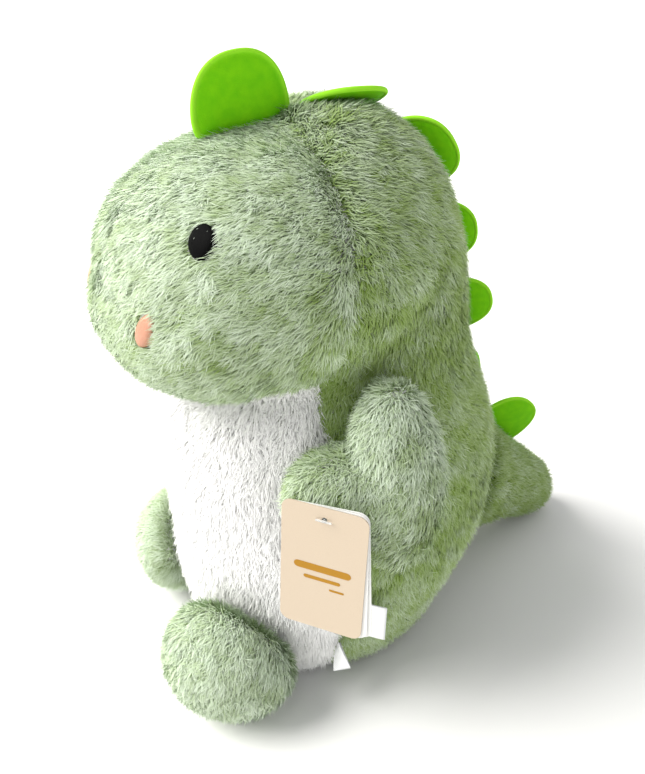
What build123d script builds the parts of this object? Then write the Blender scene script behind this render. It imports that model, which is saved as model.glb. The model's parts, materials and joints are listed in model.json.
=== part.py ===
from build123d import *
import os
from math import cos, radians, sin

# A plush dinosaur, sitting: fur-fabric panels over loose polyester filling, with a bag of pellets in
# the seat, stuffed arms, feet and tail, seven felt plates down the spine, and a card hang tag.
# Millimetres. +Z is up, the face looks along -Y, the toy's left side is +X, the floor is z = 0.

os.makedirs("parts", exist_ok=True)

# ---------------------------------------------------------------- driving dimensions
FABRIC = 5.0             # backing cloth with its pile pressed half way down
EASE = 0.6               # room between a fabric panel and the filling behind it
BIG = 900.0              # a block that is larger than the toy, for cutting

# Trunk sections from the seat to the crown: height, centre y, half depth, half width
TRUNK_SECTIONS = [
    (0, -38, 68, 68),
    (14, -35, 84, 82),
    (45, -29, 100, 96),
    (90, -18, 113, 106),
    (140, -14, 117, 108),
    (185, -17, 107, 105),
    (225, -14, 90, 99),
    (262, -10, 84, 94),
    (300, -8, 76, 88),
    (330, -8, 64, 76),
    (352, -10, 48, 58),
    (366, -14, 28, 34),
]
SKULL_CENTRE = (0, -52, 284)
SKULL_RADII = (110, 104, 79)
MUZZLE_CENTRE = (0, -95, 268)
MUZZLE_RADII = (95, 66, 54)
SIDE_SEAM_Y = -63.0      # white belly in front of this plane, green back behind it
CROWN_SEAM_LEAN = 11.0   # degrees that the cheek seam leans back towards the crown
NECK_SEAM_Z = 240.0      # where the chin seam meets the side seam
NECK_SEAM_DROP = 24.0    # degrees that the chin seam falls towards the front
BASE_THICKNESS = 4.0

PELLET_CENTRE = (0, -32, 42)
PELLET_RADII = (62, 60, 30)

EYE_CENTRE = (65.4, -117.8, 323.2)
EYE_SIZE = (14.0, 19.0)
NOSTRIL_CENTRE = (50.4, -149.9, 276.9)
NOSTRIL_SIZE = (14.0, 20.0)
EMBROIDERY = 1.2         # height of the satin stitching over the cloth

ARM_TURN = 20.0          # degrees that the arm's flat root turns to the front
ARM_TILT = 6.0           # degrees that it looks up
ARM_PIVOT = (104.6, -34.6, 214.6)
ARM_STRAIGHT = ((1, -32), (29, 61))      # upper arm: centre and half sizes, back and up of the pivot
ARM_PAW = ((-27, -36), (38, 27))         # paw, which points forwards
ARM_DEPTH = (12.0, 27.0)                 # height of the middle over the root, and half thickness

# Feet: side, middle of the foot, turn of its axis away from +X, distance of its root from the origin
FEET = [
    ("left", (59, -130, 40), 59.7, 103.2),
    ("right", (-76, -107, 40), 134.3, 98.2),
]
FOOT_RADII = (40, 45, 40)
FOOT_ROOT_LEAN = 20.0    # degrees that the flat root looks down
SOLE_HEIGHT = 16.0

TAIL_ROOT_LEAN = 25.0    # degrees that the root looks down
TAIL_PIVOT = (0, 88, 70)
TAIL_RELIEF = 14.0       # degrees cut off each side of the root, so that the tail can wag 12
# Tail sections: y, centre height, half height, half width
TAIL_SECTIONS = [
    (40, 84, 60, 60),
    (100, 76, 56, 44),
    (137, 54, 42, 35),
    (168, 36, 32, 28),
    (186, 27, 24, 20),
    (195, 23, 12, 10),
]

FELT = 1.2
INTERLINING = 1.4
# Spine plates: name, base centre (y, z), slope of the base, base width, height, flop to the left
SPIKES = [
    ("spike_1", (-61, 364.5), 5, 62, 38, 3),
    ("spike_2", (2, 366), -4, 56, 31, 66),
    ("spike_3", (55, 329.5), -58, 54, 30, 52),
    ("spike_4", (73, 275), -83, 44, 29, 40),
    ("spike_5", (81, 217), -76, 44, 36, 33),
    ("spike_6", (102, 148), -80, 44, 31, -30),
    ("spike_7", (142, 95), -46, 50, 33, 22),
]
SPIKE_LIFT = 3.0         # the straight base stands this far off the curved back

TAG_CENTRE_TOP = (132.8, -92.1, 182)         # the punched hole
TAG_TURN = 39.7          # degrees that the card's face turns from straight ahead to the left
TAG_WIDTH = 50.0
TAG_HEIGHT = 88.0
TAG_SWAY = 5.0            # degrees that the cards hang off plumb
TAG_CORNER = 6.0
TAG_HOLE_DROP = 8.0
CARD = 0.5
FASTENER_R = 0.6
LABEL_CLOTH = 0.8


# ---------------------------------------------------------------- helpers
def ellipsoid(centre, radii):
    """A scaled sphere."""
    return Pos(*centre) * scale(Sphere(1), by=radii)


def grown(radii, by):
    """Radii made larger or smaller by the same amount."""
    return tuple(r + by for r in radii)


def half_space(plane):
    """A block that fills the side of a plane that its normal points to."""
    return plane * Pos(0, 0, BIG / 2) * Box(BIG, BIG, BIG)


def upright_half(x_sign):
    """The toy's left (+1) or right (-1) half of space."""
    return Pos(x_sign * BIG / 2, 0, 0) * Box(BIG, BIG, BIG)


def mirrored(shape):
    """The same shape on the toy's right side."""
    return mirror(shape, about=Plane.YZ)


def save(name, shape):
    """One STEP file for one piece, and its volume as a check."""
    export_step(shape, f"parts/{name}.step")
    print(f"{name:22s} {len(shape.solids())} solid  {shape.volume / 1000:9.2f} cm3")


def save_pair(name, shape):
    """The left piece and its mirror image."""
    save(f"{name}_left", shape)
    save(f"{name}_right", mirrored(shape))


# ---------------------------------------------------------------- trunk: head and body in one cover
def trunk_form(inset, floor):
    """The stuffed form, pulled in by inset, standing on floor."""
    rings = []
    for height, y, depth, width in TRUNK_SECTIONS:
        ring = Pos(0, y, max(height, floor)) * Ellipse(width - inset, depth - inset)
        rings.append(ring)
    body = loft(rings)
    skull = ellipsoid(SKULL_CENTRE, grown(SKULL_RADII, -inset))
    muzzle = ellipsoid(MUZZLE_CENTRE, grown(MUZZLE_RADII, -inset))
    return body + skull + muzzle


def trunk_seams():
    """Planes of the side seam, the cheek seam and the chin seam; each looks forwards or up."""
    side = Plane(origin=(0, SIDE_SEAM_Y, 0), z_dir=(0, -1, 0))
    lean = radians(CROWN_SEAM_LEAN)
    cheek = Plane(origin=(0, SIDE_SEAM_Y, NECK_SEAM_Z), z_dir=(0, -cos(lean), sin(lean)))
    drop = radians(NECK_SEAM_DROP)
    chin = Plane(origin=(0, SIDE_SEAM_Y, NECK_SEAM_Z), z_dir=(0, -sin(drop), cos(drop)))
    return side, cheek, chin


def make_trunk():
    """Six cover panels, the filling and the pellet bag."""
    side, cheek, chin = (half_space(plane) for plane in trunk_seams())
    above_base = half_space(Plane(origin=(0, 0, BASE_THICKNESS), z_dir=(0, 0, 1)))
    outer = trunk_form(0, 0)
    save("base_panel", outer - above_base)

    # The left half of the cover is cut along its seams, and the right half mirrors it.
    cover = ((outer & upright_half(1)) - trunk_form(FABRIC, BASE_THICKNESS)) & above_base
    save_pair("face_panel", cover & cheek & chin)
    rest = cover - (cheek & chin)
    belly = (rest & side) - chin
    save("belly_panel", belly + mirrored(belly))
    save_pair("back_panel", rest - (side - chin))

    pellets = ellipsoid(PELLET_CENTRE, PELLET_RADII)
    pocket = ellipsoid(PELLET_CENTRE, grown(PELLET_RADII, EASE))
    save("pellet_bag", pellets)
    save("trunk_filling", trunk_form(FABRIC + EASE, BASE_THICKNESS + EASE) - pocket)


def embroidery(centre, size, form_centre, form_radii):
    """A satin-stitched oval that lies on an ellipsoid, around its surface point."""
    outward = Vector(*[(c - f) / r**2 for c, f, r in zip(centre, form_centre, form_radii)])
    plane = Plane(origin=centre, z_dir=outward, x_dir=(outward.Y, -outward.X, 0))
    oval = plane * Pos(0, 0, -10) * extrude(Ellipse(size[0] / 2, size[1] / 2), 20)
    skin = ellipsoid(form_centre, grown(form_radii, EMBROIDERY + 0.1))
    skin -= ellipsoid(form_centre, grown(form_radii, 0.1))
    return skin & oval


# ---------------------------------------------------------------- arms
def arm_plane():
    """The left arm's flat root: x to the back, y up, z outwards, origin at the shoulder."""
    turn = radians(ARM_TURN)
    tilt = radians(ARM_TILT)
    outwards = (cos(turn) * cos(tilt), -sin(turn) * cos(tilt), sin(tilt))
    return Plane(origin=ARM_PIVOT, x_dir=(sin(turn), cos(turn), 0), z_dir=outwards)


def arm_form(inset, root):
    """Upper arm and paw, pulled in by inset and cut flat at height root."""
    middle, half = ARM_DEPTH
    lobes = []
    for (x, y), (rx, ry) in (ARM_STRAIGHT, ARM_PAW):
        lobes.append(ellipsoid((x, y, middle), (rx - inset, ry - inset, half - inset)))
    block = Pos(0, 0, BIG / 2 + root) * Box(BIG, BIG, BIG)
    return (lobes[0] + lobes[1]) & block


def make_arms():
    """Outer panel, inner panel and filling for each arm."""
    plane = arm_plane()
    shell = arm_form(0, 0) - arm_form(FABRIC, FABRIC)
    seam = Pos(0, 0, BIG / 2 + ARM_DEPTH[0]) * Box(BIG, BIG, BIG)
    save_pair("arm_outer_panel", plane * (shell & seam))
    save_pair("arm_inner_panel", plane * (shell - seam))
    save_pair("arm_filling", plane * arm_form(FABRIC + EASE, FABRIC + EASE))


# ---------------------------------------------------------------- feet
def foot_form(centre, turn, root, inset):
    """A rounded boot, flat below and flat where it meets the trunk."""
    angle = radians(turn)
    lean = radians(FOOT_ROOT_LEAN)
    axis = Vector(cos(angle) * cos(lean), -sin(angle) * cos(lean), -sin(lean))
    boot = Pos(*centre) * Rot(0, 0, -turn) * scale(Sphere(1), by=grown(FOOT_RADII, -inset))
    boot &= half_space(Plane(origin=axis * (root + inset), z_dir=axis))
    boot &= half_space(Plane(origin=(0, 0, inset), z_dir=(0, 0, 1)))
    return boot


def make_feet():
    """Upper, sole and filling for each foot."""
    above_sole = half_space(Plane(origin=(0, 0, SOLE_HEIGHT), z_dir=(0, 0, 1)))
    for side, centre, turn, root in FEET:
        shell = foot_form(centre, turn, root, 0) - foot_form(centre, turn, root, FABRIC)
        save(f"foot_upper_{side}", shell & above_sole)
        save(f"foot_sole_{side}", shell - above_sole)
        save(f"foot_filling_{side}", foot_form(centre, turn, root, FABRIC + EASE))


# ---------------------------------------------------------------- tail
def tail_form(inset):
    """A blunt cone whose root is cut to a blunt wedge about the wag axis."""
    rings = []
    for y, height, half_height, half_width in TAIL_SECTIONS:
        ring = Plane(origin=(0, y, height), x_dir=(1, 0, 0), z_dir=(0, 1, 0))
        rings.append(ring * Ellipse(half_width - inset, half_height - inset))
    cone = loft(rings)
    lean = radians(TAIL_ROOT_LEAN)
    root = Plane(origin=TAIL_PIVOT, x_dir=(1, 0, 0), z_dir=(0, cos(lean), -sin(lean)))
    for side in (1, -1):
        cut = root * Rot(0, side * TAIL_RELIEF, 0) * Pos(0, 0, inset)
        cone &= cut * Pos(0, 0, BIG / 2) * Box(BIG, BIG, BIG)
    return cone


def make_tail():
    """Left and right panels and the filling."""
    shell = tail_form(0) - tail_form(FABRIC)
    for name, sign in (("left", 1), ("right", -1)):
        save(f"tail_panel_{name}", shell & upright_half(sign))
    save("tail_filling", tail_form(FABRIC + EASE))


# ---------------------------------------------------------------- spine plates
def plate_outline(width, height):
    """A rounded tongue: a straight base with one full curve over it."""
    left = (-width / 2, 0)
    right = (width / 2, 0)
    with BuildSketch() as sketch:
        with BuildLine():
            Spline(left, (-width * 0.40, height * 0.72), (0, height), (width * 0.40, height * 0.72), right,
                   tangents=[(0.1, 1), (0.1, -1)])
            Line(right, left)
        make_face()
    return sketch.sketch


def plate_frame(centre, slope, flop):
    """A plate's frame: x down the spine, y out of the back, z to the toy's left before the flop."""
    angle = radians(slope)
    out = Vector(0, -sin(angle), cos(angle))
    origin = Vector(0, *centre) + out * SPIKE_LIFT
    frame = Plane(origin=origin, x_dir=(0, cos(angle), sin(angle)), z_dir=(1, 0, 0))
    return frame * Rot(flop, 0, 0)


def make_spikes():
    """Each plate is a left felt, an interlining and a right felt."""
    layers = (
        ("left_felt", INTERLINING / 2, FELT),
        ("interlining", -INTERLINING / 2, INTERLINING),
        ("right_felt", -INTERLINING / 2 - FELT, FELT),
    )
    for name, centre, slope, width, height, flop in SPIKES:
        frame = plate_frame(centre, slope, flop)
        outline = plate_outline(width, height)
        for layer, start, thickness in layers:
            save(f"{name}_{layer}", frame * Pos(0, 0, start) * extrude(outline, thickness))


# ---------------------------------------------------------------- hang tag and sewn labels
def card(width, height, corner):
    """A card with rounded corners that hangs down from its punched hole."""
    sheet = Pos(0, TAG_HOLE_DROP - height / 2) * RectangleRounded(width, height, corner)
    return extrude(sheet - Circle(FASTENER_R + 1), CARD)


def make_hang_tag():
    """A printed front card, two thin cards behind it, and the plastic fastener."""
    turn = radians(TAG_TURN)
    plane = Plane(origin=TAG_CENTRE_TOP, x_dir=(cos(turn), sin(turn), 0), z_dir=(sin(turn), -cos(turn), 0))
    plane *= Rot(0, 0, -TAG_SWAY)
    save("tag_front_card", plane * card(TAG_WIDTH, TAG_HEIGHT, TAG_CORNER))
    for number, lean in ((1, 2.5), (2, 4.5)):
        back = Rot(0, 0, lean) * card(TAG_WIDTH, TAG_HEIGHT, TAG_CORNER)
        save(f"tag_back_card_{number}", plane * Pos(0, 0, -number * (CARD + 0.4)) * back)
    stem = Pos(0, 0, -4) * extrude(Circle(FASTENER_R), 6)
    bar = Pos(0, 0, 2) * Rot(0, 90, 0) * Cylinder(FASTENER_R, 9)
    save("tag_fastener", plane * (stem + bar))


def make_label(name, root, turn, droop, width, length):
    """A folded satin label that stands out of a seam; droop turns its free end down."""
    angle = radians(turn)
    upright = Plane(origin=root, x_dir=(cos(angle), sin(angle), 0), z_dir=(sin(angle), -cos(angle), 0))
    save(name, upright * Rot(0, 0, -droop) * Pos(length / 2, 0, 0) * Box(length, width, LABEL_CLOTH))


make_trunk()
save_pair("eye", embroidery(EYE_CENTRE, EYE_SIZE, SKULL_CENTRE, SKULL_RADII))
save_pair("nostril", embroidery(NOSTRIL_CENTRE, NOSTRIL_SIZE, MUZZLE_CENTRE, MUZZLE_RADII))
make_arms()
make_feet()
make_tail()
make_spikes()
make_hang_tag()
make_label("care_label", (100, -60, 72), 42, 4, 27, 24)
make_label("maker_label", (93, -66, 44), -20, 42, 13, 17)
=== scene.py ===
# %% [markdown]
# # A plush dinosaur
# The toy is faux fur sewn over loose filling. The CAD frame gives every body its place; this file
# gives the bodies their cloth, pile, stitching, felt and card.

import json
import math

import bmesh
import bpy
import numpy as np
from mathutils import Matrix, Vector, noise


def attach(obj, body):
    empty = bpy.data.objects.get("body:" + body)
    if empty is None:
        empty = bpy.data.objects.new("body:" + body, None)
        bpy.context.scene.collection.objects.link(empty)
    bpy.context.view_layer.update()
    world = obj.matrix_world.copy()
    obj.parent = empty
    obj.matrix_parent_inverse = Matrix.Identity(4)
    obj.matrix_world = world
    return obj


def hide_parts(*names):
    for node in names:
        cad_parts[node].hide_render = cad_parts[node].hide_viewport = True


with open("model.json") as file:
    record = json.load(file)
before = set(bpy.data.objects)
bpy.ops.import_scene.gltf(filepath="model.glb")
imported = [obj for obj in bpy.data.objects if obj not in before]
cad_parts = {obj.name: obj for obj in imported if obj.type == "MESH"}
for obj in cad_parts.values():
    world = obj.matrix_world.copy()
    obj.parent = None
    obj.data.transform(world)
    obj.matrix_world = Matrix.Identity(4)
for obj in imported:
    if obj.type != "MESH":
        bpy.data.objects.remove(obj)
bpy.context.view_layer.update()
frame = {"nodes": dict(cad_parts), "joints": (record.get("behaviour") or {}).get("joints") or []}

# %% [markdown]
# ## Small helpers
# Sizes are written in millimetres and colours as sRGB hex, because that is how a toy maker writes
# them. One function turns a colour linear, and one adds a node with its settings and links.

# %% Helpers
MM = 0.001


def linear(hex_colour):
    """An sRGB hex colour as linear RGBA."""
    parts = [int(hex_colour[i:i + 2], 16) / 255 for i in (1, 3, 5)]
    parts = [p / 12.92 if p <= 0.04045 else ((p + 0.055) / 1.055) ** 2.4 for p in parts]
    return (*parts, 1.0)


def add(tree, kind, inputs=None, **settings):
    """Adds a node, sets its options, and fills its inputs with values or links."""
    node = tree.nodes.new(kind)
    for name, value in settings.items():
        setattr(node, name, value)
    for key, value in (inputs or {}).items():
        if isinstance(value, bpy.types.NodeSocket):
            tree.links.new(value, node.inputs[key])
        else:
            node.inputs[key].default_value = value
    return node


def new_piece(name, mesh):
    """An object at the origin that holds a finished mesh."""
    piece = bpy.data.objects.new(name, mesh)
    bpy.context.scene.collection.objects.link(piece)
    return piece


def mesh_from(name, points, faces, smooth=True):
    """A mesh from points in millimetres and faces."""
    mesh = bpy.data.meshes.new(name)
    mesh.from_pydata([tuple(c * MM for c in p) for p in points], [], faces)
    mesh.polygons.foreach_set("use_smooth", [smooth] * len(mesh.polygons))
    mesh.update()
    return mesh


def vertex_table(mesh, what="co"):
    """Vertex places in millimetres, or vertex normals, as rows of three."""
    if what == "co":
        values = np.zeros(len(mesh.vertices) * 3, np.float32)
        mesh.vertices.foreach_get("co", values)
        return values.reshape(-1, 3).astype(float) / MM
    values = np.zeros(len(mesh.vertices) * 3, np.float32)
    mesh.vertex_normals.foreach_get("vector", values)
    return values.reshape(-1, 3).astype(float)


def place_vertices(mesh, points):
    """Moves a mesh's vertices to points in millimetres."""
    mesh.vertices.foreach_set("co", (points * MM).astype(np.float32).ravel())
    mesh.update()


def evaluated(piece):
    """The piece's mesh with its modifiers worked out."""
    bpy.context.view_layer.update()
    graph = bpy.context.evaluated_depsgraph_get()
    return bpy.data.meshes.new_from_object(piece.evaluated_get(graph), depsgraph=graph)


def unit(vectors):
    """Rows scaled to length one."""
    return vectors / np.maximum(np.linalg.norm(vectors, axis=1, keepdims=True), 1e-9)


# %% [markdown]
# ## Camera
# The toy is seen from its front left and from above, with the head turned to the left of the frame.
# The camera comes first, so that every later choice can be judged through it.

# %% Camera
AZIMUTH, ELEVATION, ROLL, DISTANCE = math.radians(62), math.radians(28), math.radians(-3), 572
TARGET = Vector((0, -18.7, 181.5)) * MM

back = Vector((math.sin(AZIMUTH) * math.cos(ELEVATION),
               -math.cos(AZIMUTH) * math.cos(ELEVATION), math.sin(ELEVATION)))
right = Vector((math.cos(AZIMUTH), math.sin(AZIMUTH), 0))
axes = Matrix((right, back.cross(right), back)).transposed().to_4x4()
camera = bpy.data.objects.new("camera", bpy.data.cameras.new("camera"))
bpy.context.scene.collection.objects.link(camera)
camera.matrix_world = (Matrix.Translation(TARGET + back * DISTANCE * MM) @ axes
                       @ Matrix.Rotation(ROLL, 4, "Z"))
camera.data.lens = 38.14
camera.data.clip_start, camera.data.clip_end = 0.01, 400
camera.data.dof.use_dof = False
bpy.context.scene.camera = camera
print("camera at", [round(c, 3) for c in camera.location])

# %% [markdown]
# ## Light and floor
# One broad, far window high in front of the toy is the key. It brightens the snout and drops a soft
# shadow behind the toy. A plain white world fills the rest; it looks pure white but lights less.

# %% Light and floor
ROOM_LIGHT = 0.62        # how much of its white the room gives as light
FLOOR_HALF = 9e4         # half the width of the paper, so that its edge is never in view
scene = bpy.context.scene
scene.view_settings.view_transform = "Standard"
world = bpy.data.worlds.new("white_room")
world.use_nodes = True
sky = world.node_tree.nodes["Background"]
sky.inputs["Color"].default_value = linear("#FFFFFF")
seen = add(world.node_tree, "ShaderNodeLightPath").outputs["Is Camera Ray"]
glow = add(world.node_tree, "ShaderNodeMapRange", {"Value": seen, "To Min": ROOM_LIGHT, "To Max": 1.0})
world.node_tree.links.new(glow.outputs["Result"], sky.inputs["Strength"])
scene.world = world


def window_light(name, place, strength, softness, colour):
    """Far, soft light that comes from a place towards the toy."""
    lamp = bpy.data.lights.new(name, "SUN")
    lamp.energy, lamp.color, lamp.angle = strength, linear(colour)[:3], math.radians(softness)
    window = bpy.data.objects.new(name, lamp)
    scene.collection.objects.link(window)
    window.rotation_euler = (-Vector(place)).to_track_quat("-Z", "Y").to_euler()


window_light("window_key", (-0.6, -1.0, 1.1), 5.0, 52, "#FFFDF8")


def paper_floor():
    """Seamless white paper, smooth and matte."""
    material = bpy.data.materials.new("white_seamless_paper")
    material.use_nodes = True
    tree = material.node_tree
    shader = tree.nodes["Principled BSDF"]
    shader.inputs["Base Color"].default_value = linear("#F7F7F7")
    shader.inputs["Roughness"].default_value = 0.9
    shader.inputs["Specular IOR Level"].default_value = 0.1
    return material


corners = [(x * FLOOR_HALF, y * FLOOR_HALF, -0.2) for x, y in ((-1, -1), (1, -1), (1, 1), (-1, 1))]
floor = new_piece("floor", mesh_from("floor", corners, [(0, 1, 2, 3)]))
floor.data.materials.append(paper_floor())

# %% [markdown]
# ## Shapes under the pile
# Each stuffed part starts as a copy of its CAD filling, which is the space inside the cloth. The
# copy is remeshed to an even net, its seam lines are pinned, and a cloth simulation blows up the
# cloth between them, so panels crown and seams stay pulled in. Modelling the puff by hand would give
# rounder, deader forms.

# %% Seams of the trunk
SIDE_SEAM_Y, NECK_SEAM_Z = -63, 240
CROWN_LEAN, NECK_DROP = math.radians(11), math.radians(24)


def seam_distances(points):
    """How far each point is in front of the side and cheek seams and above the chin seam."""
    side = SIDE_SEAM_Y - points[:, 1]
    cheek = side * math.cos(CROWN_LEAN) + (points[:, 2] - NECK_SEAM_Z) * math.sin(CROWN_LEAN)
    chin = -side * -math.sin(NECK_DROP) + (points[:, 2] - NECK_SEAM_Z) * math.cos(NECK_DROP)
    return side, cheek, chin


def trunk_panels(points):
    """Masks for the face, belly and back panels."""
    side, cheek, chin = seam_distances(points)
    face = (cheek > 0) & (chin > 0)
    belly = (side > 0) & (chin <= 0)
    return face, belly, ~(face | belly)


def cheek_dart(points):
    """Distance from the dart that shapes a cheek, from behind the eye to the cheek seam."""
    start, end = np.array((80, -108, 312)), np.array((103, -58, 311))
    flipped = np.stack([np.abs(points[:, 0]), points[:, 1], points[:, 2]], axis=1)
    share = np.clip((flipped - start) @ (end - start) / ((end - start) ** 2).sum(), 0, 1)
    return np.linalg.norm(flipped - start - share[:, None] * (end - start), axis=1)


def trunk_seams(points):
    """Distance of each point from the nearest sewn seam of the trunk."""
    side, cheek, chin = seam_distances(points)
    lines = [
        np.where(chin < 4, np.abs(side), 99),
        np.where(chin > -4, np.abs(cheek), 99),
        np.where(side > -4, np.abs(chin), 99),
        np.where((cheek > 0) & (chin > 0) & (points[:, 1] < -110), np.abs(points[:, 0]), 99),
        np.where(cheek < 0, np.abs(points[:, 0]), 99),
        cheek_dart(points),
    ]
    return np.min(lines, axis=0)


def paw_seam(points):
    """Distance from the seam round an arm's edge."""
    outward = np.array((0.9345, -0.3401, 0.1045))
    flipped = np.stack([np.abs(points[:, 0]), points[:, 1], points[:, 2]], axis=1)
    height = (flipped - np.array((104.6, -34.6, 214.6))) @ outward
    return np.abs(height - 12)


def sole_seam(points):
    """Distance from the seam between a foot's sole and its upper."""
    return np.abs(points[:, 2] - 16)


def tail_seam(points):
    """Distance from the tail's middle seam."""
    return np.abs(points[:, 0])


# %% Stuffing a part
def largest_shell(mesh):
    """Keeps the outside of a form and drops the walls of pockets inside it."""
    work = bmesh.new()
    work.from_mesh(mesh)
    bmesh.ops.remove_doubles(work, verts=work.verts, dist=0.02 * MM)
    left, shells = set(work.verts), []
    while left:
        stack, shell = [left.pop()], []
        while stack:
            vertex = stack.pop()
            shell.append(vertex)
            for edge in vertex.link_edges:
                other = edge.other_vert(vertex)
                if other in left:
                    left.discard(other)
                    stack.append(other)
        shells.append(shell)
    shells.sort(key=lambda s: max(v.co.z for v in s) - min(v.co.z for v in s))
    bmesh.ops.delete(work, geom=[v for s in shells[:-1] for v in s], context="VERTS")
    work.to_mesh(mesh)
    work.free()


def blow_up(piece, pins, pressure):
    """Runs the cloth for 20 frames with air pressure inside and no gravity."""
    group = piece.vertex_groups.new(name="seam")
    for index, weight in enumerate(pins):
        group.add([index], float(weight), "REPLACE")
    cloth = piece.modifiers.new("cloth", "CLOTH")
    settings = cloth.settings
    settings.use_pressure, settings.uniform_pressure_force = True, pressure
    settings.vertex_group_mass = "seam"
    settings.quality, settings.mass = 4, 0.15
    settings.effector_weights.gravity = 0
    settings.pin_stiffness = 4
    for number in range(1, 21):
        scene.frame_set(number)
    puffed = evaluated(piece)
    scene.frame_set(1)
    piece.modifiers.clear()
    return vertex_table(puffed)


def stuffed(name, node, seam, voxel=5.0, smooth=8, puff=3.5, groove=0.4, pressure=4.0):
    """The cloth of one stuffed part, in millimetres of puff over its filling."""
    mesh = frame["nodes"][node].data.copy()
    largest_shell(mesh)
    piece = new_piece(name, mesh)
    net = piece.modifiers.new("net", "REMESH")
    net.mode, net.voxel_size = "VOXEL", voxel * MM
    ease = piece.modifiers.new("ease", "SMOOTH")
    ease.factor, ease.iterations = 0.5, smooth
    piece.data = evaluated(piece)
    piece.modifiers.clear()
    start, normals = vertex_table(piece.data), vertex_table(piece.data, "normal")
    pins = np.exp(-(seam(start) / 3.2) ** 2)
    step = blow_up(piece, np.clip(pins, 0, 1), pressure) - start
    reach = np.linalg.norm(step, axis=1, keepdims=True)
    grown = start + step * np.minimum(1, 1.25 * puff / np.maximum(reach, 1e-6))
    outward = ((grown - start) * normals).sum(axis=1)
    grown += normals * np.maximum(0, 0.85 * puff * (1 - 0.6 * pins) - outward)[:, None]
    grown -= normals * (groove * pins)[:, None]
    lumps = [noise.noise(Vector(p) / 34) + 0.5 * noise.noise(Vector(p) / 15) for p in grown]
    grown += normals * (1.6 * np.array(lumps) * (1 - pins))[:, None]
    grown[:, 2] = np.maximum(grown[:, 2], 1.0)
    place_vertices(piece.data, grown)
    finer = piece.modifiers.new("finer", "SUBSURF")
    finer.levels = finer.render_levels = 1
    piece.data = evaluated(piece)
    piece.modifiers.clear()
    piece.vertex_groups.clear()
    piece.data.polygons.foreach_set("use_smooth", [True] * len(piece.data.polygons))
    print(name, len(piece.data.vertices), "vertices")
    return piece


# %% Materials of the cloth
def backing_cloth(name, thread, shade):
    """Knitted polyester backing: matte loops 1 mm apart that show dark between the hairs. The dark is partly
    painted shade, both between the hairs and between the loops.
    """
    material = bpy.data.materials.new(name)
    material.use_nodes = True
    tree = material.node_tree
    shader = tree.nodes["Principled BSDF"]
    place = add(tree, "ShaderNodeTexCoord").outputs["Object"]
    loops = add(tree, "ShaderNodeTexNoise", {"Vector": place, "Scale": 1 / (1.0 * MM), "Detail": 2})
    ramp = add(tree, "ShaderNodeValToRGB", {"Fac": loops.outputs["Fac"]})
    ramp.color_ramp.elements[0].color = linear(shade)
    ramp.color_ramp.elements[1].color = linear(thread)
    bump = add(tree, "ShaderNodeBump", {"Height": loops.outputs["Fac"], "Distance": 0.4 * MM,
                                        "Strength": 0.5})
    tree.links.new(ramp.outputs["Color"], shader.inputs["Base Color"])
    tree.links.new(bump.outputs["Normal"], shader.inputs["Normal"])
    shader.inputs["Roughness"].default_value = 0.95
    return material


def faux_fur(name, root_painted_shade, middle, tip, pale_root_painted_shade, pale_middle, pale_tip):
    """Rabbit-like polyester pile: each hair is dark at its root, as painted shade deep in the pile, and pale
    at its tip. The darker and paler ramps are partly shaded and lit copies of one pile.
    """
    material = bpy.data.materials.new(name)
    material.use_nodes = True
    tree = material.node_tree
    shader = tree.nodes["Principled BSDF"]
    uv = add(tree, "ShaderNodeUVMap", uv_map="OFBake").outputs["UV"]
    along = add(tree, "ShaderNodeSeparateXYZ", {"Vector": uv})
    colours = []
    for stops in ((root_painted_shade, middle, tip), (pale_root_painted_shade, pale_middle, pale_tip)):
        ramp = add(tree, "ShaderNodeValToRGB", {"Fac": along.outputs["Y"]})
        ramp.color_ramp.elements[0].color = linear(stops[0])
        ramp.color_ramp.elements[1].color = linear(stops[2])
        halfway = ramp.color_ramp.elements.new(0.45)
        halfway.color = linear(stops[1])
        colours.append(ramp.outputs["Color"])
    blend = add(tree, "ShaderNodeMix", {0: along.outputs["X"], 6: colours[0], 7: colours[1]},
                data_type="RGBA")
    tree.links.new(blend.outputs[2], shader.inputs["Base Color"])
    shader.inputs["Roughness"].default_value = 0.7
    shader.inputs["Specular IOR Level"].default_value = 0.12
    return material


# The green backing's dark olive is partly painted shade where it shows between the hair roots.
green_backing = backing_cloth("knitted_backing_sage", "#7E9655", "#566B2E")
white_backing = backing_cloth("knitted_backing_white", "#D6D9D2", "#B9BEB6")
# The dark root colours are painted shade deep in the pile. Each first set is the darker, partly shaded tone,
# and each second set is the paler, partly lit tone.
green_pile = faux_fur("sage_faux_fur", "#4C651A", "#7D9A3C", "#A9C07F",
                      "#99B470", "#CBDCBD", "#E8F2E6")
white_pile = faux_fur("white_faux_fur", "#D9DCD6", "#F4F5F2", "#FDFDFC",
                      "#EEF0EC", "#FDFDFC", "#FFFFFF")

# %% [markdown]
# ## Pile
# The pile is real geometry, because hair particles would be lost in the finished model. A Geometry
# Nodes tree scatters points on the cloth, and stands one bent, tapering blade of three triangles on
# each. The blades follow a combing direction kept on the cloth, and noise gathers them in tufts.

# %% One hair
def hair_blade():
    """A unit blade: it rises out of the cloth, then leans over along +Y."""
    points = [(-500, 0, 0), (500, 0, 0), (400, 380, 370), (-400, 380, 370), (0, 880, 500)]
    mesh = mesh_from("hair_blade", points, [(0, 1, 2, 3), (3, 2, 4)])
    along = mesh.attributes.new("along", "FLOAT", "POINT")
    along.data.foreach_set("value", [0, 0, 0.5, 0.5, 1])
    blade = new_piece("hair_blade", mesh)
    return blade


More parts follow.
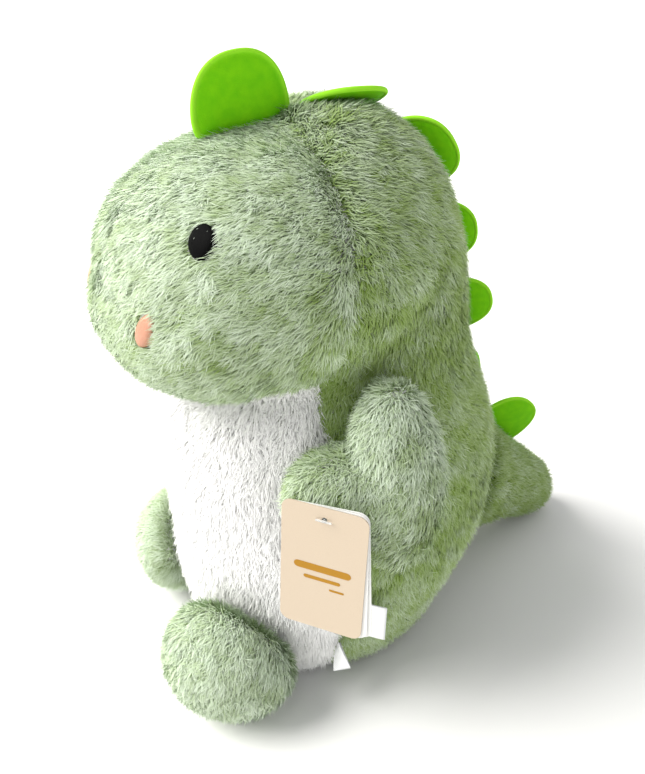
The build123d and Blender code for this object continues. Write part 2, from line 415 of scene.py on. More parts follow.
# %% The tree that grows the pile
def pile_tree():
    """Points on cloth, one blade each, combed, tufted and joined to one mesh."""
    tree = bpy.data.node_groups.new("pile", "GeometryNodeTree")
    sockets = [("Cloth", "NodeSocketGeometry"), ("Hairs per square metre", "NodeSocketFloat"),
               ("Length", "NodeSocketFloat"), ("Width", "NodeSocketFloat"), ("Tuft", "NodeSocketFloat"),
               ("Stray", "NodeSocketFloat"), ("Seed", "NodeSocketInt"), ("Hair", "NodeSocketObject"),
               ("Fur", "NodeSocketMaterial")]
    for name, kind in sockets:
        tree.interface.new_socket(name=name, in_out="INPUT", socket_type=kind)
    tree.interface.new_socket(name="Pile", in_out="OUTPUT", socket_type="NodeSocketGeometry")
    given = add(tree, "NodeGroupInput").outputs

    def named(name, kind="FLOAT"):
        return add(tree, "GeometryNodeInputNamedAttribute", {"Name": name}, data_type=kind).outputs[0]

    def maths(operation, a, b):
        return add(tree, "ShaderNodeMath", {0: a, 1: b}, operation=operation).outputs[0]

    def vector(operation, a, b, slot=1):
        return add(tree, "ShaderNodeVectorMath", {0: a, slot: b}, operation=operation).outputs[0]

    def chance(low, high, offset):
        seed = maths("ADD", given["Seed"], offset)
        node = add(tree, "FunctionNodeRandomValue", {2: low, 3: high, "Seed": seed}, data_type="FLOAT")
        return node.outputs[1]

    def keep(geometry, name, value, kind="FLOAT", domain="POINT"):
        node = add(tree, "GeometryNodeStoreNamedAttribute", {"Geometry": geometry, "Name": name},
                   data_type=kind, domain=domain)
        tree.links.new(value, [s for s in node.inputs if s.name == "Value" and s.enabled][0])
        return node.outputs[0]

    density = maths("MULTIPLY", given["Hairs per square metre"], named("cover"))
    scatter = add(tree, "GeometryNodeDistributePointsOnFaces",
                  {"Mesh": given["Cloth"], "Density": density, "Seed": given["Seed"]})
    place = add(tree, "GeometryNodeInputPosition").outputs[0]
    tufts = add(tree, "ShaderNodeTexNoise", {"Vector": place, "Scale": 1 / (13 * MM), "Detail": 2.5,
                                             "Roughness": 0.6})
    curls = add(tree, "ShaderNodeTexNoise", {"Vector": place, "Scale": 1 / (5 * MM), "Detail": 1.5})
    wander = vector("ADD", tufts.outputs["Color"], curls.outputs["Color"])
    wander = vector("SCALE", vector("SUBTRACT", wander, (1.0, 1.0, 1.0)), given["Tuft"], "Scale")
    stray = add(tree, "FunctionNodeRandomValue", {0: (-1, -1, -1), 1: (1, 1, 1), "Seed": given["Seed"]},
                data_type="FLOAT_VECTOR").outputs[0]
    stray = vector("SCALE", stray, given["Stray"], "Scale")
    comb = vector("ADD", vector("ADD", named("comb", "FLOAT_VECTOR"), wander), stray)

    # Each strand's tone is the cloth's value, made darker in the gaps between tufts and curls as painted
    # shade and paler on their crowns. A random tone from strand to strand is added.
    tone = maths("ADD", named("shade"), maths("MULTIPLY", maths("SUBTRACT", tufts.outputs["Fac"], 0.5), 1.7))
    tone = maths("ADD", tone, maths("MULTIPLY", maths("SUBTRACT", curls.outputs["Fac"], 0.5), 1.3))
    tone = maths("ADD", tone, chance(-0.14, 0.14, 5))
    tone = add(tree, "ShaderNodeClamp", {"Value": tone, "Min": 0.02, "Max": 0.98}).outputs[0]
    points = keep(scatter.outputs["Points"], "tone", tone)
    points = keep(points, "cloth_normal", scatter.outputs["Normal"], "FLOAT_VECTOR")

    stand = add(tree, "FunctionNodeAlignRotationToVector", {"Vector": scatter.outputs["Normal"]}, axis="Z")
    lean = add(tree, "FunctionNodeAlignRotationToVector", {"Rotation": stand.outputs[0], "Vector": comb},
               axis="Y", pivot_axis="Z")
    tilt = add(tree, "ShaderNodeCombineXYZ", {"X": chance(-0.3, 0.42, 11), "Y": chance(-0.55, 0.55, 17)})
    turned = add(tree, "FunctionNodeRotateRotation", {0: lean.outputs[0], 1: tilt.outputs[0]},
                 rotation_space="LOCAL")
    length = maths("MULTIPLY", maths("MULTIPLY", given["Length"], named("pile")), chance(0.7, 1.12, 23))
    length = maths("MULTIPLY", length, maths("ADD", 0.62, maths("MULTIPLY", tufts.outputs["Fac"], 0.75)))
    size = add(tree, "ShaderNodeCombineXYZ", {"X": given["Width"], "Y": length, "Z": length})
    hair = add(tree, "GeometryNodeObjectInfo", {"Object": given["Hair"]})
    sown = add(tree, "GeometryNodeInstanceOnPoints",
               {"Points": points, "Instance": hair.outputs["Geometry"], "Rotation": turned.outputs[0],
                "Scale": size.outputs[0]})
    real = add(tree, "GeometryNodeRealizeInstances", {"Geometry": sown.outputs[0]}).outputs[0]
    strand_uv = add(tree, "ShaderNodeCombineXYZ", {"X": named("tone"), "Y": named("along")}).outputs[0]
    real = keep(real, "OFBake", strand_uv, "FLOAT2", "CORNER")
    dyed = add(tree, "GeometryNodeSetMaterial", {"Geometry": real, "Material": given["Fur"]})
    finish = add(tree, "NodeGroupOutput")
    tree.links.new(dyed.outputs[0], finish.inputs[0])
    return tree


PILE, HAIR = pile_tree(), hair_blade()
HAIR.hide_render = True
MOST_HAIRS = 64000  # three triangles each, so that a piece stays under 200,000


# %% Growing the pile on a part
def measured_area(mesh, cover):
    """The cloth's area in square metres, weighted by how much of it is covered."""
    areas = np.zeros(len(mesh.polygons), np.float32)
    mesh.polygons.foreach_get("area", areas)
    first = np.zeros(len(mesh.polygons), np.int32)
    mesh.polygons.foreach_get("loop_start", first)
    corner = np.zeros(len(mesh.loops), np.int32)
    mesh.loops.foreach_get("vertex_index", corner)
    return float((areas * cover[corner[first]]).sum())


def grow_pile(name, cloth, body, fur, cover, comb, shade, length, pile, seed,
              width=0.68, tuft=2.0, stray=0.4, per_cm2=165):
    """One piece of pile on the covered part of a cloth, riding on a body."""
    mesh = cloth.data.copy()
    # The pile's tone goes on the cloth with the cover, pile height and combing. It carries painted light and
    # shade.
    for label, values in (("cover", cover), ("shade", shade), ("pile", pile)):
        mesh.attributes.new(label, "FLOAT", "POINT").data.foreach_set("value", values.astype(np.float32))
    mesh.attributes.new("comb", "FLOAT_VECTOR", "POINT").data.foreach_set(
        "vector", unit(comb).astype(np.float32).ravel())
    density = min(per_cm2 * 1e4, MOST_HAIRS / max(measured_area(mesh, cover), 1e-6))
    piece = new_piece(name, mesh)
    grower = piece.modifiers.new("pile", "NODES")
    grower.node_group = PILE
    inputs = {"Hairs per square metre": density, "Length": length * MM, "Width": width * MM, "Tuft": tuft,
              "Stray": stray, "Seed": seed, "Hair": HAIR, "Fur": fur}
    for item in PILE.interface.items_tree:
        if item.name in inputs:
            grower[item.identifier] = inputs[item.name]
    piece.data = evaluated(piece)
    piece.modifiers.clear()
    press_on_floor(piece.data)
    soften_shading(piece.data)
    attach(piece, body)
    print(name, len(piece.data.polygons) // 2, "hairs,", round(density / 1e4), "per square centimetre")
    return piece


FLOOR_GAP = 0.3          # how far over the floor the lowest hairs lie


def press_on_floor(mesh):
    """Hairs that would go through the floor lie flat on it."""
    spots = vertex_table(mesh)
    spots[:, 2] = np.maximum(spots[:, 2], FLOOR_GAP)
    place_vertices(mesh, spots)


CLOTH_SHARE, OWN_SHARE = 0.72, 0.28     # whose direction a hair's shading follows


def soften_shading(mesh):
    """Turns each hair's shading most of the way to the cloth's, as light spreads inside real pile."""
    cloth = np.zeros(len(mesh.vertices) * 3, np.float32)
    mesh.attributes["cloth_normal"].data.foreach_get("vector", cloth)
    own = vertex_table(mesh, "normal")
    cloth = cloth.reshape(-1, 3)
    flip = np.sign((own * cloth).sum(axis=1, keepdims=True))
    mixed = unit(CLOTH_SHARE * cloth + OWN_SHARE * own * np.where(flip == 0, 1, flip))
    for label in ("comb", "cover", "shade", "pile", "cloth_normal", "tone", "along"):
        if label in mesh.attributes:
            mesh.attributes.remove(mesh.attributes[label])
    mesh.normals_split_custom_set_from_vertices(mixed.tolist())


# %% [markdown]
# ## Trunk
# One cover runs from the crown to the seat: a green face, a green back and a white belly, each with
# its own combing. The face's pile runs forwards and down, and the rest falls.

# %% Trunk cloth
trunk = stuffed("trunk_cover", "trunk_filling", trunk_seams, puff=3.5)
trunk.data.materials.append(green_backing)
trunk.data.materials.append(white_backing)
middles = np.zeros(len(trunk.data.polygons) * 3, np.float32)
trunk.data.polygons.foreach_get("center", middles)
belly_faces = trunk_panels(middles.reshape(-1, 3) / MM)[1]
trunk.data.polygons.foreach_set("material_index", belly_faces.astype(np.int32))
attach(trunk, "trunk")
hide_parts("trunk_filling", "face_panel_left", "face_panel_right", "back_panel_left",
            "back_panel_right", "belly_panel")

# %% Trunk pile
BACK_MIDDLE = 195        # height where the back's pile is split into two pieces
EYE, EYE_HALF = np.array((65.4, -117.8, 323.2)), np.array((7.0, 9.5))
NOSTRIL, NOSTRIL_HALF = np.array((50.4, -149.9, 276.9)), np.array((5.6, 10.5))


def clear_of_stitching(points):
    """Zero where an eye or nostril is embroidered and just behind it, as the pile points forwards."""
    flipped = np.stack([np.abs(points[:, 0]), points[:, 1], points[:, 2]], axis=1)
    eye = np.linalg.norm((flipped - EYE - (0.5, 2.2, 1.5)) / (9.5, 10, 11), axis=1)
    nostril = np.linalg.norm((flipped - NOSTRIL - (0.5, 1.2, 1.0)) / (9, 9, 11.5), axis=1)
    return np.clip((np.minimum(eye, nostril) - 0.95) / 0.25, 0, 1)


points, normals = vertex_table(trunk.data), vertex_table(trunk.data, "normal")
face_mask, belly_mask, back_mask = trunk_panels(points)
left = points[:, 0] >= 0
seam_gap = np.clip(trunk_seams(points) / 7, 0, 1)
down = np.tile((0.0, 0.0, -1.0), (len(points), 1))
face_comb = np.stack([-0.2 * points[:, 0] / 60, -np.ones(len(points)), np.full(len(points), -0.5)], axis=1)
crown = np.clip((points[:, 2] - 270) / 70, 0, 1)
swirl = np.stack([0.25 * np.sin(points[:, 2] / 17), 0.35 * np.sin(points[:, 2] / 23) + 0.5 * crown,
                  crown * 0.2 - 1.0], axis=1)
near_seam = np.exp(-(seam_distances(points)[1] / 16) ** 2)[:, None]
near_seam *= np.clip((335 - points[:, 2:]) / 60, 0, 1)
along_seam = np.tile((0.0, -0.15, -1.0), (len(points), 1))
face_comb = unit(face_comb) * (1 - near_seam) + along_seam * near_seam
swirl = unit(swirl) * (1 - near_seam) + along_seam * near_seam
# Painted light: the pile's tone is paler on the snout and the top of the head, where the key light falls. It
# is darker over the back, which faces away from the key, and the back is also paler near the seat.
lit_snout = np.clip((-points[:, 1] - 65) / 75, 0, 1)
lit_top = np.clip((points[:, 2] - 270) / 90, 0, 1)
face_tone_and_painted_light = 0.4 + 0.2 * lit_snout + 0.38 * lit_top
back_tone_and_painted_light = 0.12 + 0.3 * lit_top + 0.2 * np.clip((120 - points[:, 2]) / 80, 0, 1)
face_cover = clear_of_stitching(points)
pile_height = 0.75 + 0.25 * seam_gap
for side, mask in (("left", left), ("right", ~left)):
    grow_pile(f"face_fur_{side}", trunk, "trunk", green_pile,
              (face_mask & mask) * face_cover, face_comb, face_tone_and_painted_light, 10, pile_height, 3)
    for half, part in (("upper", points[:, 2] > BACK_MIDDLE), ("lower", points[:, 2] <= BACK_MIDDLE)):
        grow_pile(f"back_fur_{half}_{side}", trunk, "trunk", green_pile,
                  (back_mask & mask & part) * 1.0, swirl, back_tone_and_painted_light, 10, pile_height, 7, stray=0.55)
belly_shade = np.ones(len(points))
grow_pile("belly_fur", trunk, "trunk", white_pile, (belly_mask & (points[:, 2] > 4)) * 1.0,
          down, belly_shade, 11, pile_height, 11)

# %% [markdown]
# ## Arms, feet and tail
# These are stuffed the same way and ride on their own hinged bodies. Their pile runs to the tip.

# %% Limbs
def limb(name, body, node, panels, seam, comb_of, shade, length, seed, puff=3.4, painted_top_light=0.0):
    """The cloth and pile of one limb."""
    cloth = stuffed(name + "_cover", node, seam, voxel=4.0, smooth=6, puff=puff)
    cloth.data.materials.append(green_backing)
    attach(cloth, body)
    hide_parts(node, *panels)
    spots = vertex_table(cloth.data)
    gap = 0.75 + 0.25 * np.clip(seam(spots) / 6, 0, 1)
    # Painted light: the pile's tone grows paler towards the part's top by the given amount, as if lit from
    # above.
    height = np.clip((spots[:, 2] - spots[:, 2].min()) / np.ptp(spots[:, 2]), 0, 1)
    grow_pile(name + "_fur", cloth, body, green_pile, np.ones(len(spots)),
              comb_of(spots), shade + painted_top_light * height, length, gap, seed, stray=0.6)


def to_paw(spots):
    """Down the upper arm, turning forwards along the paw."""
    forward = 0.35 + 0.65 * np.clip((200 - spots[:, 2]) / 40, 0, 1)
    return np.stack([np.zeros(len(spots)), -forward, -1.0 + 0.5 * forward], axis=1)


def to_toe(spots):
    """Away from the trunk and down over the toe."""
    return unit(spots - np.array((0, -30, 60))) + np.array((0, 0, -0.4))


def to_tail_tip(spots):
    """Along the tail to its tip."""
    return np.tile((0.0, 1.0, -0.55), (len(spots), 1))


# Each limb's tone number partly carries painted light: the tail is darker, the feet are paler, and the arms
# grow paler towards their tops.
for side in ("left", "right"):
    limb(f"arm_{side}", f"arm_{side}", f"arm_filling_{side}",
         (f"arm_outer_panel_{side}", f"arm_inner_panel_{side}"), paw_seam, to_paw, 0.35, 10, 21,
         painted_top_light=0.5)
    limb(f"foot_{side}", f"foot_{side}", f"foot_filling_{side}",
         (f"foot_upper_{side}", f"foot_sole_{side}"), sole_seam, to_toe, 0.8, 10, 31)
limb("tail", "tail", "tail_filling", ("tail_panel_left", "tail_panel_right"), tail_seam, to_tail_tip,
     0.1, 10, 41)

# %% [markdown]
# ## Base
# The seat is a round of flat woven cloth, sewn in so that the toy sits without rocking.

# %% Base cloth
def ring_surface(name, rings):
    """A surface from rings of points, each joined to the next, with the last ring filled to a point."""
    count = len(rings[0])
    points = [p for ring in rings for p in ring]
    faces = []
    for row in range(len(rings) - 1):
        for i in range(count):
            j = (i + 1) % count
            faces.append((row * count + i, row * count + j, (row + 1) * count + j, (row + 1) * count + i))
    points.append(tuple(np.mean(rings[-1], axis=0)))
    last = (len(rings) - 1) * count
    faces += [(last + i, last + (i + 1) % count, len(points) - 1) for i in range(count)]
    return mesh_from(name, points, faces)


def woven_base(name):
    """Plain-weave polyester, threads 0.8 mm apart, in the toy's green."""
    material = bpy.data.materials.new(name)
    material.use_nodes = True
    tree = material.node_tree
    shader = tree.nodes["Principled BSDF"]
    place = add(tree, "ShaderNodeTexCoord").outputs["Object"]
    threads = []
    for direction in ("X", "Y"):
        wave = add(tree, "ShaderNodeTexWave", {"Vector": place, "Scale": 1 / (0.8 * MM) / 6.28,
                                               "Distortion": 0.4}, bands_direction=direction)
        threads.append(wave.outputs["Fac"])
    weave = add(tree, "ShaderNodeMath", {0: threads[0], 1: threads[1]}, operation="MULTIPLY").outputs[0]
    ramp = add(tree, "ShaderNodeValToRGB", {"Fac": weave})
    ramp.color_ramp.elements[0].color = linear("#7D9468")
    ramp.color_ramp.elements[1].color = linear("#9DB287")
    bump = add(tree, "ShaderNodeBump", {"Height": weave, "Distance": 0.2 * MM, "Strength": 0.6})
    tree.links.new(ramp.outputs["Color"], shader.inputs["Base Color"])
    tree.links.new(bump.outputs["Normal"], shader.inputs["Normal"])
    shader.inputs["Roughness"].default_value = 0.9
    return material


def base_rings():
    """Rings of the base from its sewn rim over the floor to its middle, looking down."""
    rings = []
    for radius, height in ((67.5, 4.5), (68, 2.6), (66.5, 0.7), (63, 0.2), (61, 0.9), (59, 0.2), (30, 0.1)):
        angles = np.linspace(0, -2 * math.pi, 96, endpoint=False)
        rings.append([(radius * math.cos(a), -38 + radius * math.sin(a), height) for a in angles])
    return rings


base = new_piece("base_cloth", ring_surface("base_cloth", base_rings()))
base.data.materials.append(woven_base("woven_base_cloth"))
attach(base, "trunk")
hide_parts("base_panel")

# %% [markdown]
# ## Eyes and nostrils
# Each is a pad of satin stitch: parallel shiny threads half a millimetre apart over a little
# padding. A domed oval follows the head's curve, and its skirt runs down between the hairs to the
# cloth. The threads are drawn by a wave on the pad's own flat map.

# %% Embroidered pads
SKULL, SKULL_RADII = np.array((0, -52, 284)), np.array((110, 104, 79))
MUZZLE, MUZZLE_RADII = np.array((0, -95, 268)), np.array((95, 66, 54))


def satin_stitch(name, thread, gap, gloss, shine):
    """Rayon embroidery thread, laid side by side. A painted highlight brightens each thread's back, and
    painted shade darkens the gaps between threads.
    """
    material = bpy.data.materials.new(name)
    material.use_nodes = True
    tree = material.node_tree
    shader = tree.nodes["Principled BSDF"]
    flat = add(tree, "ShaderNodeUVMap", uv_map="flat").outputs["UV"]
    rows = add(tree, "ShaderNodeTexWave", {"Vector": flat, "Scale": 1 / 0.55 / 6.28 * 3.14,
                                           "Distortion": 0.8, "Detail": 2.0}, bands_direction="X")
    ramp = add(tree, "ShaderNodeValToRGB", {"Fac": rows.outputs["Fac"]})
    # The gap colour is painted shade between the threads.
    ramp.color_ramp.elements[0].color = linear(gap)
    ramp.color_ramp.elements[1].color = linear(thread)
    bump = add(tree, "ShaderNodeBump", {"Height": rows.outputs["Fac"], "Distance": 0.25 * MM,
                                        "Strength": 0.7})
    tree.links.new(ramp.outputs["Color"], shader.inputs["Base Color"])
    tree.links.new(bump.outputs["Normal"], shader.inputs["Normal"])
    shader.inputs["Roughness"].default_value = gloss
    shader.inputs["Specular IOR Level"].default_value = shine
    return material


def stitched_pad(name, centre, half, form, radii, side, rise, material, node, tilt=0):
    """A padded oval on an ellipsoid, with a flat map in millimetres for its threads."""
    outward = (centre - form) / radii ** 2
    outward /= np.linalg.norm(outward)
    across = np.array((outward[1], -outward[0], 0))
    across /= np.linalg.norm(across)
    up = np.cross(outward, across)
    lean = math.radians(tilt)
    across, up = (across * math.cos(lean) - up * math.sin(lean),
                  up * math.cos(lean) + across * math.sin(lean))
    rings, flat = [], []
    for share, height in ((1.0, -7.0), (1.02, -2.0), (1.0, 0.0), (0.95, 0.9), (0.85, 1.5), (0.65, 2.1),
                          (0.35, 2.5), (0.1, 2.6)):
        ring = []
        for turn in np.linspace(0, 2 * math.pi, 48, endpoint=False):
            x, y = half[0] * share * math.cos(turn), half[1] * share * math.sin(turn)
            spot = centre + across * x + up * y
            steps = spot - form
            for _ in range(4):
                level = np.sqrt(((steps / radii) ** 2).sum())
                steps = steps - outward * (level - 1) * radii.min()
            spot = form + steps + outward * (height + rise)
            ring.append((spot[0] * side, spot[1], spot[2]))
            flat.append((x, y))
        rings.append(ring[::int(side)])
        if side < 0:
            flat[-48:] = flat[-48:][::-1]
    mesh = ring_surface(name, rings)
    flat.append((0, 0))
    layer = mesh.uv_layers.new(name="flat")
    corner = np.zeros(len(mesh.loops), np.int32)
    mesh.loops.foreach_get("vertex_index", corner)
    layer.data.foreach_set("uv", np.array(flat, np.float32)[corner].ravel())
    pad = new_piece(name, mesh)
    mesh.materials.append(material)
    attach(pad, "trunk")
    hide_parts(node)
    return pad


# Each second colour is the painted shade between the threads.
black_satin = satin_stitch("black_satin_stitch", "#0A0A0B", "#020202", 0.6, 0.08)
peach_satin = satin_stitch("peach_satin_stitch", "#E9B296", "#D28A6C", 0.32, 0.5)
for label, side in (("left", 1), ("right", -1)):
    stitched_pad(f"eye_{label}_pad", EYE, EYE_HALF, SKULL, SKULL_RADII, side, 1.4, black_satin,
                 f"eye_{label}")
    stitched_pad(f"nostril_{label}_pad", NOSTRIL, NOSTRIL_HALF, MUZZLE, MUZZLE_RADII, side, 0.7, peach_satin,
                 f"nostril_{label}", tilt=25)

# %% [markdown]
# ## Spine plates
# Each plate is two layers of bright velboa, sewn round a thin wadding, turned, and stitched again
# just inside the edge, so it has a plump rim, a groove and a quilted middle.

# %% Plates
ROOT_DEPTH = -5  # the base is sewn in between the hairs
PLATES = {"spike_1": (62, 38), "spike_2": (56, 31), "spike_3": (54, 30), "spike_4": (44, 29),
          "spike_5": (44, 36), "spike_6": (44, 31), "spike_7": (50, 33)}


def velboa(name, face, rim):
    """Short brushed polyester: matte, with faint crush marks 6 mm wide and a bright rim colour that is a
    painted highlight on the plate's edge.
    """
    material = bpy.data.materials.new(name)
    material.use_nodes = True
    tree = material.node_tree
    shader = tree.nodes["Principled BSDF"]
    place = add(tree, "ShaderNodeTexCoord").outputs["Object"]
    crush = add(tree, "ShaderNodeTexNoise", {"Vector": place, "Scale": 1 / (6 * MM), "Detail": 3})
    nap = add(tree, "ShaderNodeTexNoise", {"Vector": place, "Scale": 1 / (0.7 * MM), "Detail": 2})
    edge = add(tree, "ShaderNodeAttribute", attribute_name="rim").outputs["Fac"]
    ramp = add(tree, "ShaderNodeValToRGB", {"Fac": crush.outputs["Fac"]})
    ramp.color_ramp.elements[0].color = linear(face[0])
    ramp.color_ramp.elements[1].color = linear(face[1])
    ramp.color_ramp.elements[0].position, ramp.color_ramp.elements[1].position = 0.3, 0.7
    # The rim takes the lighter colour: a painted highlight on the plate's edge.
    mix = add(tree, "ShaderNodeMix", {0: edge, 6: ramp.outputs["Color"], 7: linear(rim)}, data_type="RGBA")
    bump = add(tree, "ShaderNodeBump", {"Height": nap.outputs["Fac"], "Distance": 0.5 * MM, "Strength": 0.5})
    tree.links.new(mix.outputs[2], shader.inputs["Base Color"])
    tree.links.new(bump.outputs["Normal"], shader.inputs["Normal"])
    shader.inputs["Roughness"].default_value = 0.8
    shader.inputs["Specular IOR Level"].default_value = 0.15
    return material


def tongue(width, height, count=56, foot=16):
    """The outline of a plate, as flat points, round the curve and back along the straight base."""
    curve = []
    for turn in np.linspace(0, math.pi, count):
        x, y = math.cos(turn), math.sin(turn)
        curve.append((math.copysign(abs(x) ** 0.86, x) * width / 2, y ** 0.86 * height))
    curve[0], curve[-1] = (width / 2 - 1, ROOT_DEPTH), (1 - width / 2, ROOT_DEPTH)
    line = [(x, ROOT_DEPTH) for x in np.linspace(1 - width / 2, width / 2 - 1, foot + 2)[1:-1]]
    return np.array(curve + line)


def plate_mesh(name, joint, width, height):
    """A plump tongue with a sewn rim, in its place on the spine."""
    spine = np.array(joint["axis"])
    outward = np.array((0, -spine[2], spine[1]))
    flop = math.radians(70 - joint["range_deg"][1])
    out = outward * math.cos(flop) + np.array((math.sin(flop), 0, 0))
    across = np.array((math.cos(flop), 0, 0)) - outward * math.sin(flop)
    root = np.array(joint["pos_m"]) / MM
    outline, middle = tongue(width, height), np.array((0, 0.36 * height))
    # The third number of each ring is its share of the painted rim highlight.
    profile = [(1.0, 0.0, 1.0), (0.995, 0.9, 1.0), (0.965, 1.6, 1.0), (0.925, 1.7, 0.8), (0.885, 1.0, 0.2),
               (0.84, 1.6, 0.0), (0.7, 2.3, 0.0), (0.5, 2.7, 0.0), (0.25, 2.9, 0.0)]
    rings, rim_highlight = [], []
    for sign, steps in ((1, profile[:0:-1]), (-1, profile)):
        for share, thick, rim in steps:
            flat = middle + (outline - middle) * share
            ripple = 0.35 * np.sin(flat[:, 0] / 5.1 + height) * np.clip(1 - flat[:, 1] / height, 0, 1)
            bow = 1.6 * (flat[:, 1] / height) ** 2
            lift = sign * thick + ripple * (thick > 0) + bow
            rings.append([tuple(root + spine * x + out * y + across * z)
                          for (x, y), z in zip(flat, lift)])
            rim_highlight += [rim] * len(flat)
    mesh = ring_surface(name, rings)
    rim_highlight.append(0.0)
    cap = len(mesh.vertices)
    mesh.vertices.add(1)
    mesh.vertices[cap].co = [c * MM for c in np.mean(rings[0], axis=0)]
    rim_highlight.append(0.0)
    return mesh, cap, len(outline), rim_highlight


def close_plate(mesh, cap, count):
    """Fills the first ring, so that the plate is one closed skin with its normals outwards."""
    work = bmesh.new()
    work.from_mesh(mesh)
    work.verts.ensure_lookup_table()
    for i in range(count):
        work.faces.new((work.verts[(i + 1) % count], work.verts[i], work.verts[cap]))
    bmesh.ops.recalc_face_normals(work, faces=work.faces)
    for face in work.faces:
        face.smooth = True
    work.to_mesh(mesh)
    work.free()


# The third colour is the painted highlight on the plates' rims.
lime_velboa = velboa("lime_velboa", ("#68C002", "#78CA06"), "#93DC2C")
joints = {joint["name"]: joint for joint in frame["joints"]}
for spike, (width, height) in PLATES.items():
    mesh, cap, count, rim_highlight = plate_mesh(spike + "_plate", joints[spike + "_flop"], width, height)
    close_plate(mesh, cap, count)
    mesh.attributes.new("rim", "FLOAT", "POINT").data.foreach_set("value", np.array(rim_highlight, np.float32))
    plate = new_piece(spike + "_plate", mesh)
    mesh.materials.append(lime_velboa)
    finer = plate.modifiers.new("finer", "SUBSURF")
    finer.levels = finer.render_levels = 1
    plate.data = evaluated(plate)
    plate.modifiers.clear()
    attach(plate, spike)
    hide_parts(spike + "_left_felt", spike + "_interlining", spike + "_right_felt")
print(len(PLATES), "plates")

# %% [markdown]
# ## Swing tag and labels
# The tag is three punched cards on a clear nylon fastener, and its print is a plain gold ornament.
# The cards' CAD solids already have the right shape, so they only get paper finishes. The labels
# are folded strips of satin ribbon, sewn into a seam.

# %% Card and nylon
def printed_card(name, face, fleck):
    """Coated card, nearly smooth, with paper fibre flecks half a millimetre long."""
    material = bpy.data.materials.new(name)
    material.use_nodes = True
    tree = material.node_tree
    shader = tree.nodes["Principled BSDF"]
    place = add(tree, "ShaderNodeTexCoord").outputs["Object"]
    fibre = add(tree, "ShaderNodeTexNoise", {"Vector": place, "Scale": 1 / (0.5 * MM), "Detail": 3})
    ramp = add(tree, "ShaderNodeValToRGB", {"Fac": fibre.outputs["Fac"]})
    ramp.color_ramp.elements[0].color = linear(fleck)
    ramp.color_ramp.elements[1].color = linear(face)
    ramp.color_ramp.elements[1].position = 0.55
    bump = add(tree, "ShaderNodeBump", {"Height": fibre.outputs["Fac"], "Distance": 0.02 * MM,
                                        "Strength": 0.4})
    tree.links.new(ramp.outputs["Color"], shader.inputs["Base Color"])
    tree.links.new(bump.outputs["Normal"], shader.inputs["Normal"])
    shader.inputs["Roughness"].default_value = 0.5
    return material


def clear_nylon(name):
    """Milky clear moulded nylon."""
    material = bpy.data.materials.new(name)
    material.use_nodes = True
    shader = material.node_tree.nodes["Principled BSDF"]
    shader.inputs["Base Color"].default_value = linear("#F2F5F6")
    shader.inputs["Roughness"].default_value = 0.25
    shader.inputs["IOR"].default_value = 1.53
    shader.inputs["Transmission Weight"].default_value = 0.6
    return material


def dress(node, material):
    """Gives a CAD node its finish."""
    mesh = frame["nodes"][node].data
    mesh.materials.clear()
    mesh.materials.append(material)


dress("tag_front_card", printed_card("peach_beige_card", "#C9B8A2", "#C1AF99"))
white_card = printed_card("white_card", "#E9E9E7", "#DFDFDB")
dress("tag_back_card_1", white_card)
dress("tag_back_card_2", white_card)
dress("tag_fastener", clear_nylon("clear_nylon"))
dress("pellet_bag", backing_cloth("pellet_bag_cloth", "#E9E7DF", "#CFCCC2"))


# %% Gold ornament
def foil(name):
    """Hot-stamped gold foil."""
    material = bpy.data.materials.new(name)
    material.use_nodes = True
    tree = material.node_tree
    shader = tree.nodes["Principled BSDF"]
    place = add(tree, "ShaderNodeTexCoord").outputs["Object"]
    press = add(tree, "ShaderNodeTexNoise", {"Vector": place, "Scale": 1 / (2 * MM), "Detail": 2})
    rough = add(tree, "ShaderNodeMapRange", {"Value": press.outputs["Fac"], "To Min": 0.3, "To Max": 0.45})
    tree.links.new(rough.outputs["Result"], shader.inputs["Roughness"])
    shader.inputs["Base Color"].default_value = linear("#A97A1C")
    shader.inputs["Metallic"].default_value = 0.6
    return material


TAG_HOLE, TAG_TURN, TAG_SWAY = np.array(joints["tag_swing"]["pos_m"]) / MM, math.radians(39.7), 5
tag_right = np.array((math.cos(TAG_TURN), math.sin(TAG_TURN), 0))
tag_face = np.array((math.sin(TAG_TURN), -math.cos(TAG_TURN), 0))
sway = math.radians(-TAG_SWAY)
tag_x = tag_right * math.cos(sway) + np.array((0, 0, 1)) * math.sin(sway)
tag_y = np.array((0, 0, 1)) * math.cos(sway) - tag_right * math.sin(sway)


def on_tag(x, y):
    """A place on the front card's face, from its hole."""
    return tuple(TAG_HOLE + tag_x * x + tag_y * y + tag_face * 0.56)


def bar(x, y, width, height):
    """A rounded bar of foil as a fan of points."""
    spots, radius = [], height / 2
    for side in (1, -1):
        for turn in np.linspace(-math.pi / 2, math.pi / 2, 9):
            spots.append(on_tag(x + side * (width / 2 - radius + radius * math.cos(turn)),
                                y + side * radius * math.sin(turn)))
    return spots


spots, faces = [], []
for shape in ((0, -35, 34, 5.0), (0, -42.5, 22, 2.6), (9, -48.5, 9, 1.6)):
    start = len(spots)
    spots += bar(*shape)
    faces.append(tuple(range(start, len(spots))))
ornament = new_piece("tag_ornament", mesh_from("tag_ornament", spots, faces, smooth=False))
ornament.data.materials.append(foil("gold_foil"))
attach(ornament, "hang_tag")


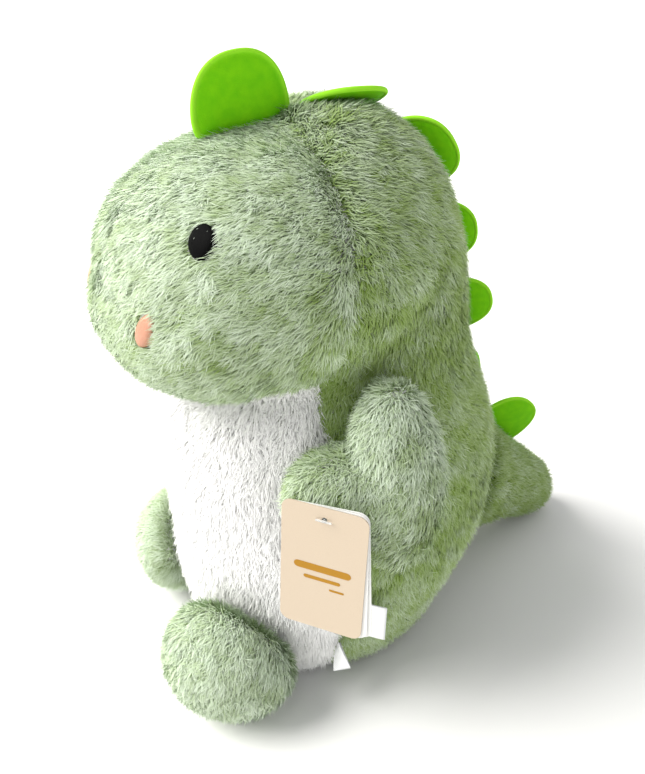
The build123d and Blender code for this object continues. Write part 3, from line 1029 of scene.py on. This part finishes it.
# %% Satin labels
def satin_ribbon(name):
    """White woven satin: fine cross threads 0.4 mm apart and a soft gloss."""
    material = bpy.data.materials.new(name)
    material.use_nodes = True
    tree = material.node_tree
    shader = tree.nodes["Principled BSDF"]
    place = add(tree, "ShaderNodeTexCoord").outputs["Object"]
    threads = add(tree, "ShaderNodeTexWave", {"Vector": place, "Scale": 1 / (0.4 * MM) / 6.28,
                                              "Distortion": 0.5}, bands_direction="Z")
    ramp = add(tree, "ShaderNodeValToRGB", {"Fac": threads.outputs["Fac"]})
    ramp.color_ramp.elements[0].color = linear("#E4E6E8")
    ramp.color_ramp.elements[1].color = linear("#FBFCFD")
    bump = add(tree, "ShaderNodeBump", {"Height": threads.outputs["Fac"], "Distance": 0.05 * MM,
                                        "Strength": 0.4})
    tree.links.new(ramp.outputs["Color"], shader.inputs["Base Color"])
    tree.links.new(bump.outputs["Normal"], shader.inputs["Normal"])
    shader.inputs["Roughness"].default_value = 0.38
    return material


ribbon = satin_ribbon("white_satin_ribbon")


def folded_label(name, body, root, turn, droop, width, length, twist=0):
    """A ribbon sewn in at both ends, folded at its tip, slightly bowed and twisted."""
    along = np.array((math.cos(turn), math.sin(turn), 0))
    face = np.array((math.sin(turn), -math.cos(turn), 0))
    out = along * math.cos(droop) - np.array((0, 0, 1)) * math.sin(droop)
    tall = np.array((0, 0, 1)) * math.cos(droop) + along * math.sin(droop)
    route = [(length * t, -0.45 + 0.9 * math.sin(2.4 * t)) for t in np.linspace(0, 0.97, 14)]
    route += [(length * t, 0.45 + 0.9 * math.sin(2.4 * t)) for t in np.linspace(0.99, 0, 14)]
    spots, faces = [], []
    for s, lift in route:
        roll = twist * s / length
        wide = tall * math.cos(roll) + face * math.sin(roll)
        front = face * math.cos(roll) - tall * math.sin(roll)
        for w in np.linspace(-0.5, 0.5, 8):
            spots.append(tuple(np.array(root) + out * s + wide * w * width + front * lift))
    for row in range(len(route) - 1):
        for i in range(7):
            faces.append((row * 8 + i, row * 8 + i + 1, row * 8 + i + 9, row * 8 + i + 8))
    label = new_piece(name + "_ribbon", mesh_from(name, spots, faces))
    label.data.materials.append(ribbon)
    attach(label, body)
    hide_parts(name)


folded_label("care_label", "care_label", (100, -60, 72), math.radians(42), math.radians(4), 27, 24)
folded_label("maker_label", "maker_label", (93, -66, 44), math.radians(-20), math.radians(42), 13, 17,
             twist=math.radians(-55))
